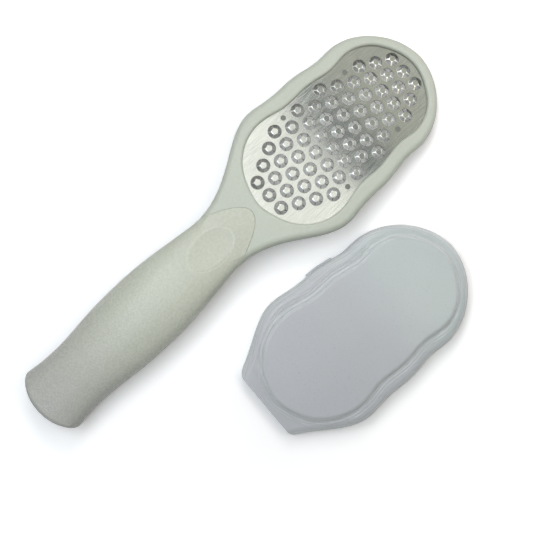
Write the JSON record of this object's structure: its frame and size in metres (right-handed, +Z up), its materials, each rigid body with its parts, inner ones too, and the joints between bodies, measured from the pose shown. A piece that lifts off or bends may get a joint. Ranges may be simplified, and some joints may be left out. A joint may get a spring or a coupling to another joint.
{
  "type": "foot file",
  "caption": "Hand-held foot file: grained paddle handle, lobed head with a rim round a curved steel grating plate, and a frosted cap lying taken off beside it.",
  "frame": {"origin": "centre of the flat under the grip's butt, on the table plane", "axes": "+X along the file towards the head's tip, +Z up out of the grating plate's side, y = 0 is the file's plane of symmetry, and the taken-off cover lies at -Y"},
  "size_m": [0.2323, 0.1361, 0.0234],
  "materials": {
    "cream_plastic": "satin moulded plastic, pale greenish cream",
    "grained_grip": "fine moulded grain, pale greenish cream",
    "etched_steel": "stainless sheet, softly polished",
    "grey_plastic": "matt grey moulded plastic",
    "frosted_plastic": "translucent frosted polypropylene"
  },
  "bodies": {
    "file": {"head_frame": "cream_plastic", "grater_plate": "etched_steel", "clamp_frame": "grey_plastic", "grip_front": "grained_grip", "grip_rear": "grained_grip"},
    "cover": {"protective_cover": "frosted_plastic"}
  },
  "joints": [
    {"name": "cover_lift", "type": "slide", "parent": "file", "child": "cover", "axis": [0, 0, 1], "range_m": [0, 0.06]}
  ]
}
